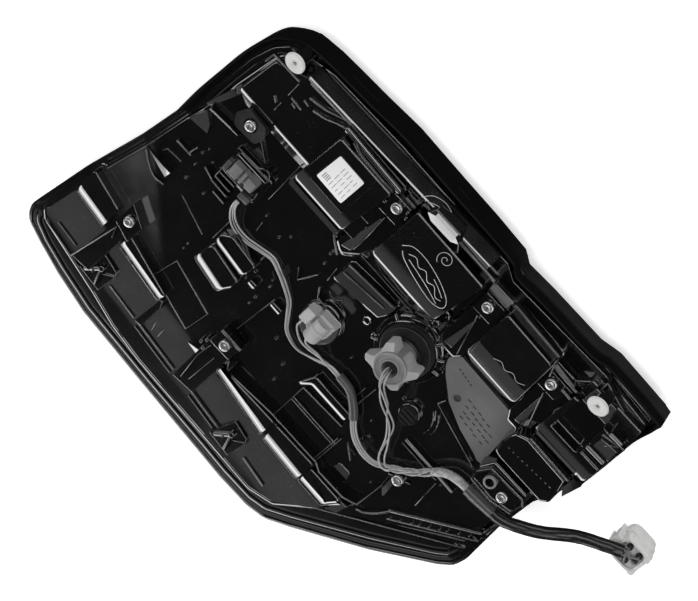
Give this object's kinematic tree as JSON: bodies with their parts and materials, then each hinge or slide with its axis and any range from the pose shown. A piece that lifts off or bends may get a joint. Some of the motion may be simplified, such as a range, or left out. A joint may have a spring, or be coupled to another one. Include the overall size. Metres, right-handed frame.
{
  "type": "headlight",
  "caption": "Car lamp unit lying on its lens: glossy black moulded back housing with bulb holders, wiring harness, mounting pads, bracket and a short cable with a plug.",
  "frame": {"origin": "centre of the lamp's own outline, on the plane the lens rests on", "axes": "+X along the lamp's long side towards the cable, +Y towards the tall skirt wall, +Z from the lens to the back of the housing"},
  "size_m": [0.5295, 0.342, 0.0908],
  "materials": {
    "black_plastic": "high gloss moulded black with fine scratches and dust",
    "clear_lens": "clear moulded lens, smooth",
    "seal_rubber": "soft black sealing bead",
    "bezel_plastic": "satin dark grey",
    "reflector": "bright metallised plastic",
    "board": "satin green board",
    "grey_plastic": "satin mid grey",
    "light_grey_plastic": "satin light grey",
    "bulb_glass": "clear glass",
    "wire_insulation": "satin light grey insulation",
    "sleeve_plastic": "dull dark sleeve",
    "tape": "wound grey cloth tape",
    "cable_sheath": "satin black sheath",
    "white_plastic": "satin off white",
    "terminal_brass": "bright",
    "screw_steel": "zinc plated, slightly dull",
    "label_paper": "bare white paper label",
    "dark_plastic": "satin black"
  },
  "bodies": {
    "root": {"housing": "black_plastic", "outer_lens": "clear_lens", "lens_seal": "seal_rubber", "inner_bezel": "bezel_plastic", "main_reflector": "reflector", "turn_reflector": "reflector", "led_board": "board", "led_carrier": "bezel_plastic", "led_socket": "black_plastic", "led_plug": "grey_plastic", "led_wires": "wire_insulation", "large_holder": "grey_plastic", "large_gasket": "seal_rubber", "large_bulb": "bulb_glass", "small_holder": "light_grey_plastic", "small_gasket": "seal_rubber", "small_bulb": "bulb_glass", "small_holder_wires": "wire_insulation", "large_holder_wires": "wire_insulation", "shrink_sleeve": "sleeve_plastic", "taped_bundle": "tape", "cable_relief": "sleeve_plastic", "cable": "cable_sheath", "cable_plug": "white_plastic", "plug_seals": "seal_rubber", "plug_wires": "cable_sheath", "plug_terminals": "terminal_brass", "housing_screws": "screw_steel", "bracket": "black_plastic", "bracket_screw": "screw_steel", "upper_pad": "white_plastic", "lower_pad": "white_plastic", "label": "label_paper", "vent_cap": "dark_plastic", "wire_clips": "dark_plastic"}
  },
  "joints": []
}
